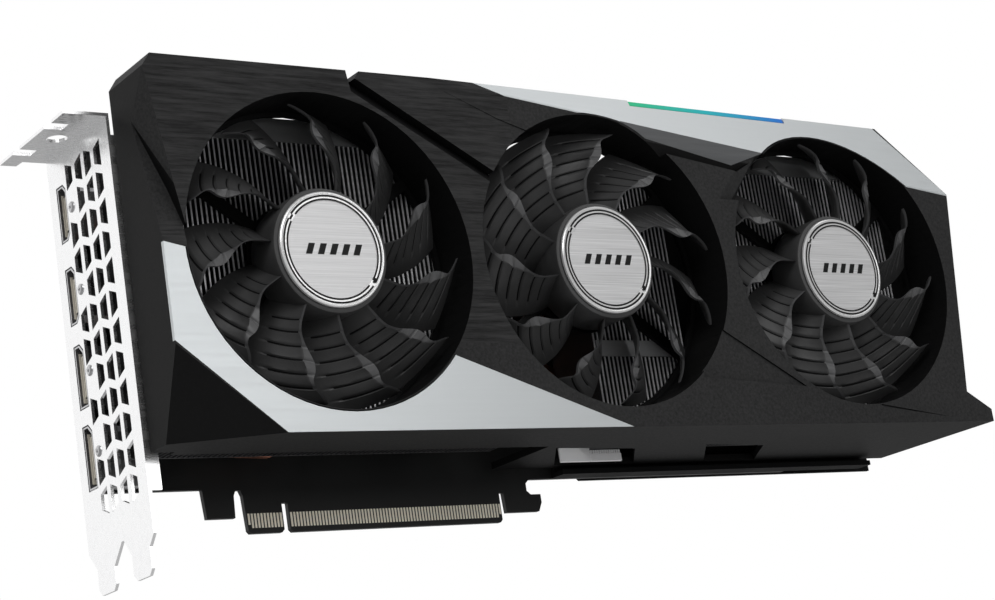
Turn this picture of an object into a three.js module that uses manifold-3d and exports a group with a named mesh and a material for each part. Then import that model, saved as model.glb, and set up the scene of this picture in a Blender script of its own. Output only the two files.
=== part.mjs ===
// Triple-fan graphics card for a PCI Express x16 slot, in millimetres.
// X = 0 is the outer face of the slot bracket and +X runs along the card. Y = 0 is the component
// face of the circuit board, with the fans towards -Y and the backplate towards +Y. Z = 0 is the
// bottom edge of the edge connector, with +Z up.
import * as THREE from "three";
import { mergeVertices } from "three/addons/utils/BufferGeometryUtils.js";
import Module from "manifold-3d";

const wasm = await Module();
wasm.setup();

// ---- Driving dimensions ----
const GAP = 0.3;
const CARD_TIP_X = 285;
const FRONT_Y = -53.5;
const SHROUD_LEFT_X = 1.2;
const SHROUD_TOP_Z = 114.3;
const SHROUD_BOTTOM_Z = 15.2;
const SHROUD_BACK_Y = -2.5;
const SHROUD_WALL = 2;
const SHROUD_FACE = 4;
const TRIM_SKIN = 1.2;

const FAN_NAMES = ["left", "center", "right"];
const FAN_X = [50.8, 141.5, 232.9];
const FAN_Z = 64.1;
const OPENING_R = 43.1;
const DUCT_WALL = 1.7;
const DUCT_BACK_Y = -38.5;
const GROOVE_DEPTH = 3.7;
const BLADE_COUNT = 11;
const BLADE_TIP_R = 41.4;
const BLADE_FRONT_Y = -50.6;
const HUB_R = 17.2;
const HUB_FRONT_Y = -51.6;
const HUB_BACK_Y = -39.4;
const BADGE_R = 15.8;

const BOARD_THICK = 1.57;
const BOARD_LEFT_X = 3;
const BOARD_RIGHT_X = 243;
const BOARD_BOTTOM_Z = 12.4;
const BOARD_TOP_Z = 106;
const KEY_NOTCH_X = 57.7;

const SHEET = 0.86;
const BRACKET_BACK_Y = 4.2;
const BRACKET_FRONT_Y = -33;
const BRACKET_TOP_Z = 105.3;
const TONGUE_TIP_Z = -14.6;
const SLOT_PITCH = 20.32;

const FIN_FRONT_Y = -35.5;
const FIN_BASE_Y = -15;
const FIN_FOLD_Y = -16;
const FIN_BOTTOM_Z = 17.8;
const FIN_TOP_Z = 99.5;
const FIN_THICK = 0.5;
const FIN_PITCH = 3.5;

const GPU = { x: 112, z: 62 };
const BACKPLATE_Y = [3.7, 4.9];

// ---- Materials ----
function finish(color, roughness, metalness) {
  return new THREE.MeshStandardMaterial({ color, roughness, metalness });
}
const blackPlastic = finish(0x17181a, 0.5, 0);
const fanPlastic = finish(0x1c1d1f, 0.6, 0);
const silverTrim = finish(0xc9cfd2, 0.3, 0.8);
const litPlastic = finish(0x27c4b0, 0.3, 0);
const boardBlack = finish(0x141516, 0.5, 0);
const aluminium = finish(0x8b8e92, 0.4, 1);
const copper = finish(0xb06a48, 0.3, 1);
const brightSteel = finish(0xd8dadc, 0.2, 1);
const blackMetal = finish(0x1b1c1e, 0.45, 0.6);
const chipBlack = finish(0x111214, 0.35, 0);
const silicon = finish(0x4a4c55, 0.1, 0.6);
const brass = finish(0xb08d4a, 0.3, 1);
const ferrite = finish(0x3a3b3d, 0.7, 0.2);

// ---- Solids ----
function solid(geometry) {
  const bare = geometry.index ? geometry.toNonIndexed() : geometry.clone();
  bare.deleteAttribute("normal");
  bare.deleteAttribute("uv");
  const merged = mergeVertices(bare, 1e-4);
  return new wasm.Manifold(
    new wasm.Mesh({
      numProp: 3,
      vertProperties: merged.attributes.position.array,
      triVerts: new Uint32Array(merged.index.array),
    }),
  );
}

function geometryOf(body) {
  const mesh = body.getMesh();
  const geometry = new THREE.BufferGeometry();
  geometry.setAttribute("position", new THREE.BufferAttribute(mesh.vertProperties, 3));
  geometry.setIndex(new THREE.BufferAttribute(mesh.triVerts, 1));
  return geometry;
}

function box([x0, x1], [y0, y1], [z0, z1]) {
  const geometry = new THREE.BoxGeometry(x1 - x0, y1 - y0, z1 - z0);
  return solid(geometry.translate((x0 + x1) / 2, (y0 + y1) / 2, (z0 + z1) / 2));
}

// A flat outline of [a, b] points, extruded along the axis that `plane` leaves out.
function prism(plane, outline, [low, high]) {
  const shape = new THREE.Shape(outline.map(([a, b]) => new THREE.Vector2(a, b)));
  const settings = { depth: high - low, bevelEnabled: false };
  const geometry = new THREE.ExtrudeGeometry(shape, settings);
  if (plane === "xz") geometry.rotateX(Math.PI / 2).translate(0, high, 0);
  if (plane === "xy") geometry.translate(0, 0, low);
  if (plane === "yz") {
    const turn = new THREE.Matrix4().makeBasis(
      new THREE.Vector3(0, 1, 0),
      new THREE.Vector3(0, 0, 1),
      new THREE.Vector3(1, 0, 0),
    );
    geometry.applyMatrix4(turn).translate(low, 0, 0);
  }
  return solid(geometry);
}

function cylinderY(x, z, radius, [y0, y1], sides = 24) {
  const geometry = new THREE.CylinderGeometry(radius, radius, y1 - y0, sides);
  return solid(geometry.translate(x, (y0 + y1) / 2, z));
}

function ringY(x, z, inner, outer, span, sides = 24) {
  const [y0, y1] = span;
  const bore = cylinderY(x, z, inner, [y0 - 1, y1 + 1], sides);
  return cylinderY(x, z, outer, span, sides).subtract(bore);
}

function union(bodies) {
  return bodies.reduce((sum, body) => sum.add(body));
}

function without(body, cutters) {
  return cutters.reduce((rest, cutter) => rest.subtract(cutter), body);
}

// Everything on the -Y side of the plane through three points.
function ahead(a, b, c) {
  const [p, q, r] = [a, b, c].map((point) => new THREE.Vector3(...point));
  const normal = q.clone().sub(p).cross(r.clone().sub(p)).normalize();
  if (normal.y > 0) normal.negate();
  const size = 900;
  const turn = new THREE.Quaternion().setFromUnitVectors(new THREE.Vector3(0, 0, 1), normal);
  const geometry = new THREE.BoxGeometry(size, size, size).translate(0, 0, size / 2);
  return solid(geometry.applyQuaternion(turn).translate(...p.toArray()));
}

// The material in front of a sloping facet, inside a front-view outline.
function facet(outline, a, b, c) {
  return prism("xz", outline, [FRONT_Y - 5, FRONT_Y + 30]).intersect(ahead(a, b, c));
}

const card = new THREE.Group();

function node(name, body, material) {
  const mesh = new THREE.Mesh(geometryOf(body), material);
  mesh.name = name;
  card.add(mesh);
}

// ---- Shroud and its trims ----
const F = FRONT_Y;
const SHROUD_OUTLINE = [
  [3.6, SHROUD_TOP_Z],
  [SHROUD_LEFT_X, 110.8],
  [SHROUD_LEFT_X, SHROUD_BOTTOM_Z],
  [CARD_TIP_X, SHROUD_BOTTOM_Z],
  [CARD_TIP_X, 19.1],
  [275.6, 24.8],
  [284.6, 90],
  [267, SHROUD_TOP_Z],
];
// The upper right of the front leans back from a crease to the top edge. Under the crease, between
// the middle and right openings, the front folds back again.
const CREASE_START = [113.6, F, 111.2];
const CREASE_END = [284.6, F, 89.9];
const LEAN_BACK_PER_MM = 0.39;
const LEAN_OUTLINE = [[88, 120], [88, 112], [300, 84], [300, 120]];
const FOLD_OUTLINE = [[154, 106.2], [150, 100], [196.1, 93], [208.5, 99.4]];
const FOLD_LOWEST = [196.1, F + 2.2, 95.7];

function leanPlane(depth) {
  const top = [CREASE_START[0], F + 40 * LEAN_BACK_PER_MM, CREASE_START[2] + 40];
  return [CREASE_START, CREASE_END, top].map(([x, y, z]) => [x, y + depth, z]);
}

function creaseFacets(depth) {
  const fold = [CREASE_START, CREASE_END, FOLD_LOWEST].map(([x, y, z]) => [x, y + depth, z]);
  return [facet(LEAN_OUTLINE, ...leanPlane(depth)), facet(FOLD_OUTLINE, ...fold)];
}

function shroudFacets() {
  return [
    ...creaseFacets(0),
    // Upper left corner: a facet down the front edge, and another that fades out above the trim.
    facet(
      [[-5, 120], [3.6, 120], [1.2, 110.8], [6.1, 79.6], [1.2, 99.1], [-5, 99.1]],
      [1.2, F, 110.8],
      [6.1, F, 79.6],
      [1.2, -44, 99.1],
    ),
    facet(
      [[-5, 99.1], [1.2, 99.1], [6.1, 79.6], [8.8, 64.5], [-5, 64.5]],
      [1.2, -44, 99.1],
      [8.8, F, 64.5],
      [1.2, F + 0.1, 64.5],
    ),
    // Lower left corner, under the lower trim.
    facet(
      [[-5, 40], [1.2, 38], [29.7, 15], [29.7, 10], [-5, 10]],
      [1.2, F, 38],
      [29.7, F, SHROUD_BOTTOM_Z],
      [1.2, -42.9, 16.1],
    ),
    // Between the left and middle fans: a deep diagonal groove, and a faint one beside it.
    facet(
      [[62.6, 108.3], [61, 120], [70, 120], [64.4, 112.2], [106, 88], [104.8, 84.6]],
      [62.6, F, 108.3],
      [104.8, F, 84.6],
      [64.4, F + GROOVE_DEPTH, 112.2],
    ),
    facet(
      [[89.6, 112.1], [109.7, 103.9], [120, 100.8], [114.3, 97.4], [105.1, 102.7]],
      [89.6, F, 112.1],
      [114.3, F, 97.4],
      [118.5, F + 0.3, 100.2],
    ),
    // Small recess beside the right opening.
    facet(
      [[186.9, 83.9], [197.1, 95.5], [208, 99.4], [204, 84]],
      [186.9, F, 83.9],
      [197.1, F, 95.5],
      [203, F + 3, 90],
    ),
    // Shallow facets below the middle and right openings.
    facet(
      [[172, 40.5], [178.3, 44.2], [208.2, 26.7], [168.9, 29.5]],
      [178.3, F + 0.6, 44.2],
      [208.2, F + 0.6, 26.7],
      [168.9, F + 1.4, 29.5],
    ),
    // A fine line from under the right opening to the lower right corner.
    facet(
      [[237, 21.1], [238, 20.3], [268, 16.6]],
      [237, F + 0.5, 21],
      [238, F + 0.5, 20],
      [268, F + 0.5, 17],
    ),
  ];
}

function openings(radius) {
  const span = [FRONT_Y - 10, DUCT_BACK_Y + 10];
  return FAN_X.map((x) => cylinderY(x, FAN_Z, radius, span, 72));
}

const shroudBlock = without(
  prism("xz", SHROUD_OUTLINE, [FRONT_Y, SHROUD_BACK_Y]),
  shroudFacets(),
);

const LOWER_TRIM_OUTLINE = [
  [SHROUD_LEFT_X - 3, 64.9],
  [SHROUD_LEFT_X - 3, 41.3],
  [29.7, SHROUD_BOTTOM_Z + 0.1],
  [140.3, SHROUD_BOTTOM_Z + 0.1],
  [84.1, 35.4],
  [50, 64],
  [9, 62.6],
];
// The upper trim wraps a little way round the crease where the front starts to lean back.
const UPPER_TRIM_OUTLINE = [
  [101.5, 115],
  [113.6, 110.8],
  [155.2, 105.6],
  [163.3, 101.9],
  [196.1, 95.7],
  [206.8, 99.2],
  [285.1, 89.4],
  [265.3, 115],
];
const LIGHT_BAR_X = [161, 225];
const LIGHT_BAR_Z = 112.3;

function skin(outline, clearance, depth) {
  const within = prism("xz", outline, [FRONT_Y - 2, FRONT_Y + 22]);
  const front = FRONT_Y + depth;
  const flat = prism("xz", SHROUD_OUTLINE, [front, SHROUD_BACK_Y]);
  const inner = without(flat, creaseFacets(depth));
  return without(within, [inner, ...openings(OPENING_R + clearance)]);
}

function trim(outline) {
  return skin(outline, 0.6, TRIM_SKIN).intersect(shroudBlock);
}

const lightSeat = box(LIGHT_BAR_X, [FRONT_Y, FRONT_Y + 14], [LIGHT_BAR_Z, SHROUD_TOP_Z + 1]);
const lowerTrim = trim(LOWER_TRIM_OUTLINE);
const upperTrim = trim(UPPER_TRIM_OUTLINE).subtract(lightSeat);

// The trims sit in pockets a little deeper than they are thick.
const trimPockets = [LOWER_TRIM_OUTLINE, UPPER_TRIM_OUTLINE].map((outline) =>
  skin(outline, 0.25, TRIM_SKIN + GAP),
);

const CAVITY_FRONT = [
  [31, 18.5],
  [262, 18.5],
  [270, 27],
  [279, 84],
  [268, 92],
  [205, 95],
  [118, 100],
  [108, 82],
  [60, 108],
  [12, 108],
  [12, 42],
];
const CAVITY_BACK = [
  [SHROUD_LEFT_X + SHROUD_WALL, SHROUD_BOTTOM_Z + SHROUD_WALL],
  [277, SHROUD_BOTTOM_Z + SHROUD_WALL],
  [273.8, 25.2],
  [282.4, 89.6],
  [265.8, SHROUD_TOP_Z - SHROUD_WALL],
  [SHROUD_LEFT_X + SHROUD_WALL, SHROUD_TOP_Z - SHROUD_WALL],
];

// Seen from below: one long opening over the board, and two slanted ones further along.
const UNDERSIDE_OPENINGS = [
  [[7, -31], [127, -31], [127, 5], [7, 5]],
  [[131, -29], [162, -26], [177, -6], [147, -6]],
  [[186.5, -29.4], [211.8, -26.4], [225.5, -6], [204.8, -6]],
];

function shroud() {
  const ductSpan = [FRONT_Y + SHROUD_FACE - 1, DUCT_BACK_Y];
  const duct = (x) => cylinderY(x, FAN_Z, OPENING_R + DUCT_WALL, ductSpan, 72);
  const cavityFront = without(
    prism("xz", CAVITY_FRONT, [FRONT_Y + SHROUD_FACE, DUCT_BACK_Y + 0.1]),
    FAN_X.map(duct),
  );
  const lightPocket = box(
    [LIGHT_BAR_X[0] - GAP, LIGHT_BAR_X[1] + GAP],
    [FRONT_Y, FRONT_Y + 13.3],
    [LIGHT_BAR_Z - 2.4, SHROUD_TOP_Z + 1],
  );
  return without(shroudBlock, [
    cavityFront,
    prism("xz", CAVITY_BACK, [DUCT_BACK_Y, 5]),
    ...openings(OPENING_R),
    ...trimPockets,
    lightPocket,
    // Open top behind the front band, openings in the underside, and an open end at the bracket.
    box([8, 262], [-24, 5], [100, 120]),
    ...UNDERSIDE_OPENINGS.map((outline) => prism("xy", outline, [10, 20])),
    box([-5, 8], [BRACKET_FRONT_Y - 1, 5], [10, 120]),
  ]);
}
node("shroud", shroud(), blackPlastic);
node("lower_accent_trim", lowerTrim, silverTrim);
node("upper_accent_trim", upperTrim, silverTrim);

// ---- Light bar, in a pocket along the top edge ----
const lightBar = box(
  [LIGHT_BAR_X[0] + GAP, LIGHT_BAR_X[1] - GAP],
  [FRONT_Y, FRONT_Y + 13],
  [LIGHT_BAR_Z + GAP, SHROUD_TOP_Z - 0.3],
).subtract(ahead(...leanPlane(0.2)));
node("light_bar", lightBar, litPlastic);

// ---- Fans ----
// A blade is a swept sheet: its leading edge is at the front, and it falls back towards the board.
const BLADE = { root: 16.4, sweep: 24, chord: 25, drop: 9.6, thick: 1.1, spans: 5, chords: 2 };

function bladePoint(along, across, layer, base, hand) {
  const radius = BLADE.root + along * (BLADE_TIP_R - BLADE.root);
  const bump = 2.2 * Math.sin(along * Math.PI * 2.2) * (1 - across);
  const degrees = base + BLADE.sweep * along ** 1.3 + bump - BLADE.chord * across;
  const angle = THREE.MathUtils.degToRad(degrees);
  const y = BLADE_FRONT_Y + BLADE.drop * across ** 0.8 + layer * BLADE.thick;
  return [hand * radius * Math.cos(angle), y, radius * Math.sin(angle)];
}

function blade(base, hand) {
  const positions = [];
  const faces = [];
  const columns = BLADE.chords + 1;
  const sheet = (BLADE.spans + 1) * columns;
  for (const layer of [0, 1]) {
    for (let i = 0; i <= BLADE.spans; i++) {
      for (let j = 0; j <= BLADE.chords; j++) {
        const point = bladePoint(i / BLADE.spans, j / BLADE.chords, layer, base, hand);
        positions.push(...point);
      }
    }
  }
  const quad = (a, b, c, d) => {
    if (hand > 0) faces.push(a, b, c, a, c, d);
    else faces.push(a, c, b, a, d, c);
  };
  const at = (i, j, layer) => layer * sheet + i * columns + j;
  for (let i = 0; i < BLADE.spans; i++) {
    for (let j = 0; j < BLADE.chords; j++) {
      quad(at(i, j, 0), at(i, j + 1, 0), at(i + 1, j + 1, 0), at(i + 1, j, 0));
      quad(at(i, j, 1), at(i + 1, j, 1), at(i + 1, j + 1, 1), at(i, j + 1, 1));
    }
    quad(at(i, 0, 0), at(i + 1, 0, 0), at(i + 1, 0, 1), at(i, 0, 1));
    const end = BLADE.chords;
    quad(at(i, end, 0), at(i, end, 1), at(i + 1, end, 1), at(i + 1, end, 0));
  }
  for (let j = 0; j < BLADE.chords; j++) {
    quad(at(0, j, 0), at(0, j, 1), at(0, j + 1, 1), at(0, j + 1, 0));
    const tip = BLADE.spans;
    quad(at(tip, j, 0), at(tip, j + 1, 0), at(tip, j + 1, 1), at(tip, j, 1));
  }
  const geometry = new THREE.BufferGeometry();
  geometry.setAttribute("position", new THREE.Float32BufferAttribute(positions, 3));
  geometry.setIndex(faces);
  return solid(geometry);
}

const HUB_WALL = 1.5;
function rotor(hand) {
  const cup = cylinderY(0, 0, HUB_R, [HUB_FRONT_Y, HUB_BACK_Y], 32).subtract(
    cylinderY(0, 0, HUB_R - HUB_WALL, [HUB_FRONT_Y + 1.2, HUB_BACK_Y + 1], 32),
  );
  const blades = [];
  for (let i = 0; i < BLADE_COUNT; i++) blades.push(blade((i * 360) / BLADE_COUNT, hand));
  return union([cup, ...blades]);
}

const MOUNT_Y = [-38.2, -36.8];
function fanMount() {
  const plate = ringY(0, 0, 3.3, HUB_R + 0.4, MOUNT_Y, 20);
  const rim = ringY(0, 0, OPENING_R - 1.2, OPENING_R + DUCT_WALL, MOUNT_Y, 36);
  const struts = [35, 145, 215, 325].map((degrees) =>
    box([HUB_R - 1, OPENING_R], MOUNT_Y, [-1.6, 1.6]).rotate([0, degrees, 0]),
  );
  return union([plate, rim, ...struts]);
}

function stator() {
  const core = ringY(0, 0, 3.2, 13.2, [-48.5, -38.6], 20);
  const slots = [0, 90, 180, 270].map((degrees) =>
    box([6, 15], [-50, -40.2], [-1.4, 1.4]).rotate([0, degrees + 45, 0]),
  );
  return without(core, slots);
}

const SHAFT_R = 1.5;
FAN_NAMES.forEach((name, index) => {
  const hand = name === "center" ? -1 : 1;
  const put = (part, body, material) =>
    node(`fan_${name}_${part}`, body.translate([FAN_X[index], 0, FAN_Z]), material);
  put("rotor", rotor(hand), fanPlastic);
  put("badge", cylinderY(0, 0, BADGE_R, [-52.7, HUB_FRONT_Y - GAP], 40), aluminium);
  put("magnet_ring", ringY(0, 0, 13.8, 15.3, [-49.4, -41.5], 20), ferrite);
  put("shaft", cylinderY(0, 0, SHAFT_R, [-50.1, -37.4], 12), brightSteel);
  put("mount", fanMount(), blackPlastic);
  put("stator", stator(), copper);
  put("bearing", ringY(0, 0, SHAFT_R + 0.1, 2.9, [-48.9, -37.2], 12), brass);
});

// ---- Heatsink ----
const FIN_STACKS = { left: [5, 118], middle: [145.5, 179], right: [186, 271] };
// Seen from above, a stack is a comb: its folded base with one tooth for each fin.
for (const [name, [x0, x1]] of Object.entries(FIN_STACKS)) {
  const comb = [[x1, FIN_BASE_Y], [x0, FIN_BASE_Y]];
  const gaps = Math.floor((x1 - x0 - FIN_THICK) / FIN_PITCH);
  for (let i = 0; i <= gaps; i++) {
    const left = x0 + i * FIN_PITCH;
    const right = left + FIN_THICK;
    if (i > 0) comb.push([left, FIN_FOLD_Y]);
    comb.push([left, FIN_FRONT_Y], [right, FIN_FRONT_Y]);
    if (i < gaps) comb.push([right, FIN_FOLD_Y]);
  }
  comb[0][0] = x0 + gaps * FIN_PITCH + FIN_THICK;
  node(`fin_stack_${name}`, prism("xy", comb, [FIN_BOTTOM_Z, FIN_TOP_Z]), aluminium);
}

const PIPE_R = 3;
const PIPE_Y = -11.3;
// Each heat pipe runs from the GPU under a fin stack, with a swept bend between two heights.
const HEAT_PIPES = [
  { from: [10, 84], through: [78, 76], to: [268, 82] },
  { from: [12, 60], through: [82, 68.6], to: [262, 66] },
  { from: [14, 46], through: [82, 61.2], to: [258, 52] },
  { from: [16, 34], through: [84, 53.8], to: [252, 38] },
  { from: [34, 21.8], through: [92, 46.4], to: [240, 24] },
];

function heatPipe({ from, through, to }) {
  const place = ([x, z]) => new THREE.Vector3(x, PIPE_Y, z);
  const contact = 2 * (GPU.x - through[0]);
  const path = new THREE.CatmullRomCurve3([
    place(from),
    place([from[0] + 18, from[1]]),
    place(through),
    place([through[0] + contact / 2, through[1]]),
    place([through[0] + contact, through[1]]),
    place([to[0] - 55, to[1]]),
    place(to),
  ]);
  const section = new THREE.Shape().absarc(0, 0, PIPE_R, 0, Math.PI * 2, false);
  const settings = { steps: 16, curveSegments: 5, extrudePath: path };
  return solid(new THREE.ExtrudeGeometry(section, settings));
}
HEAT_PIPES.forEach((route, index) => node(`heat_pipe_${index + 1}`, heatPipe(route), copper));

const COLD_PLATE = { x: [82, 142], z: [39, 85], y: [-7.9, -3.9] };
node("cold_plate", box(COLD_PLATE.x, COLD_PLATE.y, COLD_PLATE.z), copper);

// ---- Circuit board ----
const SCREW_HALF = 27;
const RETENTION_HOLES = [
  [-1, -1],
  [-1, 1],
  [1, -1],
  [1, 1],
].map(([a, b]) => [GPU.x + a * SCREW_HALF, GPU.z + b * SCREW_HALF]);
const BOARD_OUTLINE = [
  [BOARD_LEFT_X, BOARD_TOP_Z],
  [BOARD_LEFT_X, BOARD_BOTTOM_Z],
  [32.8, BOARD_BOTTOM_Z],
  [33.4, 4.4],
  [42, 4.4],
  [42.3, 10.5],
  [43, 12],
  [44.4, 12],
  [45, 10.5],
  [45.5, 0.8],
  [46.2, 0],
  [KEY_NOTCH_X - 1.7, 0],
  [KEY_NOTCH_X - 0.95, 0.8],
  [KEY_NOTCH_X - 0.95, 8.1],
  [KEY_NOTCH_X + 0.95, 8.1],
  [KEY_NOTCH_X + 0.95, 0.8],
  [KEY_NOTCH_X + 1.7, 0],
  [129.2, 0],
  [129.9, 0.8],
  [129.9, 8.7],
  [131.5, 8.7],
  [131.8, 2.8],
  [143.6, 2.8],
  [144.9, 5.4],
  [144.9, 7.9],
  [141.4, 7.9],
  [140.1, 9],
  [140.1, 11.2],
  [141.4, BOARD_BOTTOM_Z],
  [BOARD_RIGHT_X, BOARD_BOTTOM_Z],
  [BOARD_RIGHT_X, BOARD_TOP_Z],
];
const screwHoles = RETENTION_HOLES.map(([x, z]) => cylinderY(x, z, 1.7, [-5, 5], 10));
const board = without(prism("xz", BOARD_OUTLINE, [0, BOARD_THICK]), screwHoles);
node("circuit_board", board, boardBlack);

// A flat part whose place is given by its middle and its half sizes along X and Z.
function chip({ x, z }, halfX, halfZ, y) {
  return box([x - halfX, x + halfX], y, [z - halfZ, z + halfZ]);
}
node("gpu_package", chip(GPU, 20, 20, [-1.9, -GAP]), chipBlack);
node("gpu_die", chip(GPU, 11, 8, [-3, -2.2]), silicon);

const MEMORY_CHIPS = [
  { x: 80, z: 78 },
  { x: 80, z: 62 },
  { x: 80, z: 46 },
  { x: 104, z: 33 },
  { x: 120, z: 33 },
  { x: 144, z: 62 },
];
MEMORY_CHIPS.forEach((place, index) =>
  node(`memory_chip_${index + 1}`, chip(place, 6, 7, [-1.5, -GAP]), chipBlack),
);

// The memory plate cools the chips around the GPU, and the retention screws pass through it.
const gpuWindow = box([90, 134], [-4, -1], [40, 84]);
const memoryPlate = box([70, 160], [-3.4, -1.8], [26, 99]);
node("memory_plate", without(memoryPlate, [gpuWindow, ...screwHoles]), blackMetal);

// ---- Slot bracket ----
const PORT_Y = [-5.2, -0.3];
const PORTS = [
  { name: "video_port_1", centre: 87.8, height: 15, corner: 1.6, both: true },
  { name: "video_port_2", centre: 65, height: 15, corner: 1.6, both: true },
  { name: "video_port_3", centre: 43, height: 16.6, corner: 2, both: false },
  { name: "video_port_4", centre: 21.3, height: 16.6, corner: 2, both: false },
];

function portOutline({ centre, height, corner, both }, grow) {
  const [front, back] = [PORT_Y[0] - grow, PORT_Y[1] + grow];
  const low = centre - height / 2 - grow;
  const high = centre + height / 2 + grow;
  const lowCorner = both ? [[front, low + corner], [front + corner, low]] : [[front, low]];
  return [...lowCorner, [back, low], [back, high], [front + corner, high], [front, high - corner]];
}

// Vents: rows of hexagons, each split by an upright bar into two trapezoids.
const VENT = { width: 3.9, long: 7.3, short: 4.1, rowPitch: 8, columnPitch: 5.8, rows: 12 };
const VENT_TOP_Z = 96.6;
const VENT_FIRST_Y = -8.4;
const VENT_CLOSED_ROWS = [1, 4, 7, 9];

function vents() {
  const holes = [];
  for (let row = 0; row < VENT.rows; row++) {
    for (let column = 0; column < 4; column++) {
      if (column === 0 && VENT_CLOSED_ROWS.includes(row)) continue;
      const y = VENT_FIRST_Y - column * VENT.columnPitch;
      const z = VENT_TOP_Z - row * VENT.rowPitch;
      const longBack = (row + column) % 2 === 0;
      const back = (longBack ? VENT.long : VENT.short) / 2;
      const front = (longBack ? VENT.short : VENT.long) / 2;
      const half = VENT.width / 2;
      const outline = [
        [y + half, z - back],
        [y + half, z + back],
        [y - half, z + front],
        [y - half, z - front],
      ];
      holes.push(prism("yz", outline, [-2, 3]));
    }
  }
  return holes;
}

const TONGUE = { back: 0.4, width: 10.2 };
const NEXT_TONGUE = TONGUE.back - SLOT_PITCH;
const PLATE_OUTLINE = [
  [BRACKET_BACK_Y, BRACKET_TOP_Z],
  [BRACKET_BACK_Y, -3],
  [TONGUE.back - 0.3, -7.6],
  [TONGUE.back, TONGUE_TIP_Z + 1.6],
  [TONGUE.back - 1.6, TONGUE_TIP_Z],
  [TONGUE.back - TONGUE.width + 1.6, TONGUE_TIP_Z],
  [TONGUE.back - TONGUE.width, TONGUE_TIP_Z + 1.6],
  [TONGUE.back - TONGUE.width, -8.6],
  [-15.2, -3.4],
  [-16.4, -3.4],
  [NEXT_TONGUE, -7.8],
  [NEXT_TONGUE, TONGUE_TIP_Z + 1.6],
  [NEXT_TONGUE - 1.6, TONGUE_TIP_Z],
  [NEXT_TONGUE - TONGUE.width + 1.6, TONGUE_TIP_Z],
  [NEXT_TONGUE - TONGUE.width, TONGUE_TIP_Z + 1.6],
  [NEXT_TONGUE - TONGUE.width, -7.6],
  [BRACKET_FRONT_Y, -4.8],
  [BRACKET_FRONT_Y, BRACKET_TOP_Z],
];
const FLANGE_REACH = 11.8;
const FLANGE_OUTLINE = [
  [SHEET, BRACKET_BACK_Y],
  [-6.9, BRACKET_BACK_Y],
  [-7.2, 7.8],
  [-FLANGE_REACH, 7.8],
  [-FLANGE_REACH, BRACKET_FRONT_Y],
  [SHEET, BRACKET_FRONT_Y],
];
const NOTCH = { width: 4.42, depth: 4.9, centres: [-3, -3 - SLOT_PITCH] };

function bracket() {
  const flangeZ = [BRACKET_TOP_Z - SHEET, BRACKET_TOP_Z];
  const notches = NOTCH.centres.map((y) =>
    box(
      [-FLANGE_REACH - 1, NOTCH.depth - FLANGE_REACH],
      [y - NOTCH.width / 2, y + NOTCH.width / 2],
      [100, 110],
    ),
  );
  const hole = cylinderY(0, 0, 2.8, [-3, 3], 20).rotate([90, 0, 0]);
  const flange = without(prism("xy", FLANGE_OUTLINE, flangeZ), [
    ...notches,
    hole.translate([-5.3, -14.6, BRACKET_TOP_Z]),
  ]);
  const plate = without(prism("yz", PLATE_OUTLINE, [0, SHEET]), [
    ...vents(),
    ...PORTS.map((port) => prism("yz", portOutline(port, 0.35), [-2, 3])),
  ]);
  const lip = box([0, 3.8], [BRACKET_FRONT_Y, BRACKET_FRONT_Y + SHEET], [6, 99.4]);
  // Two tabs lie on the back of the board.
  const tabY = [BOARD_THICK + GAP, BOARD_THICK + GAP + SHEET];
  const tabs = [18, 96].map((z) => box([0, 10], tabY, [z - 4, z + 4]));
  return union([plate, flange, lip, ...tabs]);
}
node("io_bracket", bracket(), brightSteel);

// ---- Ports: a folded metal shell around a contact tongue ----
for (const port of PORTS) {
  const shell = prism("yz", portOutline(port, 0), [0.1, 13]);
  const mouth = prism("yz", portOutline(port, -0.4), [-1, 11]);
  const tongue = box(
    [2, 12],
    [-3.4, -2.2],
    [port.centre - port.height / 2 + 2.4, port.centre + port.height / 2 - 2.4],
  );
  node(port.name, shell.subtract(mouth).add(tongue), brightSteel);
}

// ---- Power sockets, opening upwards at the top edge of the board ----
const POWER = { pitch: 4.2, columns: 4, rows: 2, cavity: 3.3, z: [91, 107.4], y: -13.4 };
function powerSocket(x) {
  const width = POWER.pitch * POWER.columns + 1.4;
  const height = POWER.pitch * POWER.rows + 1.4;
  const middle = x + width / 2;
  const body = box([x, x + width], [POWER.y, POWER.y + height], POWER.z);
  const foot = box([x + 2, x + width - 2], [POWER.y + height - 1, -GAP], [POWER.z[0], 99]);
  const latch = box([middle - 2, middle + 2], [POWER.y - 1.4, POWER.y + 1], [100, 104]);
  const cavities = [];
  for (let i = 0; i < POWER.columns; i++) {
    for (let j = 0; j < POWER.rows; j++) {
      const cx = x + 0.7 + POWER.pitch * (i + 0.5);
      const cy = POWER.y + 0.7 + POWER.pitch * (j + 0.5);
      const half = POWER.cavity / 2;
      cavities.push(box([cx - half, cx + half], [cy - half, cy + half], [95, 110]));
    }
  }
  return without(union([body, foot, latch]), cavities);
}
node("power_socket_1", powerSocket(196), chipBlack);
node("power_socket_2", powerSocket(217.5), chipBlack);

// ---- Slide switch for the two firmware images ----
const SWITCH_X = 176;
const switchHousing = box([SWITCH_X - 4.5, SWITCH_X + 4.5], [-3.9, -GAP], [100.2, 106.6]).subtract(
  box([SWITCH_X - 2.4, SWITCH_X + 2.4], [-2.9, -1.3], [102, 108]),
);
node("bios_switch_housing", switchHousing, blackMetal);
const slider = box([SWITCH_X - 2, SWITCH_X - 0.2], [-2.6, -1.6], [102.4, 108.4]);
node("bios_switch_slider", slider, brightSteel);

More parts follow.
